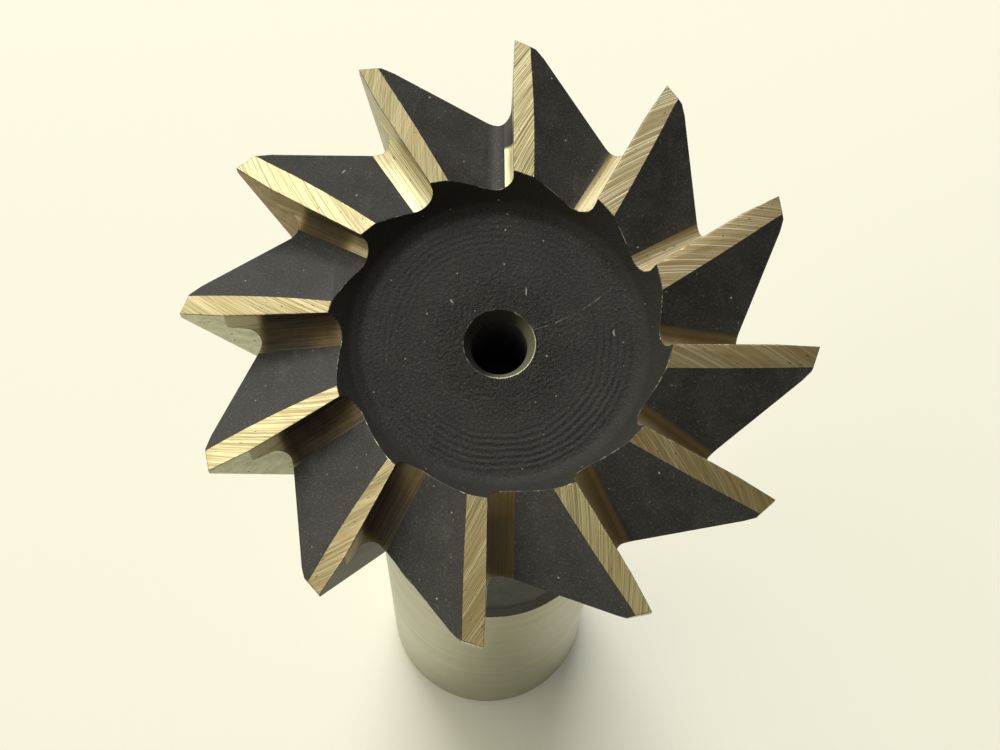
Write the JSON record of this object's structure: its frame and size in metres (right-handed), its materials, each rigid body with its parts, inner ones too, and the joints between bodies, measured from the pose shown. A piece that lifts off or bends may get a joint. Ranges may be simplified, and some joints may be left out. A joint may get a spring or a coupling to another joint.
{
  "type": "dovetail cutter",
  "caption": "Solid dovetail milling cutter: toothed head, wider at its free end, with end and flank cutting edges, a dished end face, a dark neck and a plain ground shank.",
  "frame": {"origin": "middle of the shank's end face, which the cutter stands on", "axes": "+Z along the axis from the shank's end to the end teeth; one tooth tip points along +Y"},
  "size_m": [0.035, 0.035, 0.076],
  "materials": {
    "cutter_steel": "black oxide with ground lands, gullets and shank"
  },
  "bodies": {
    "root": {"dovetail_cutter": "cutter_steel"}
  },
  "joints": []
}
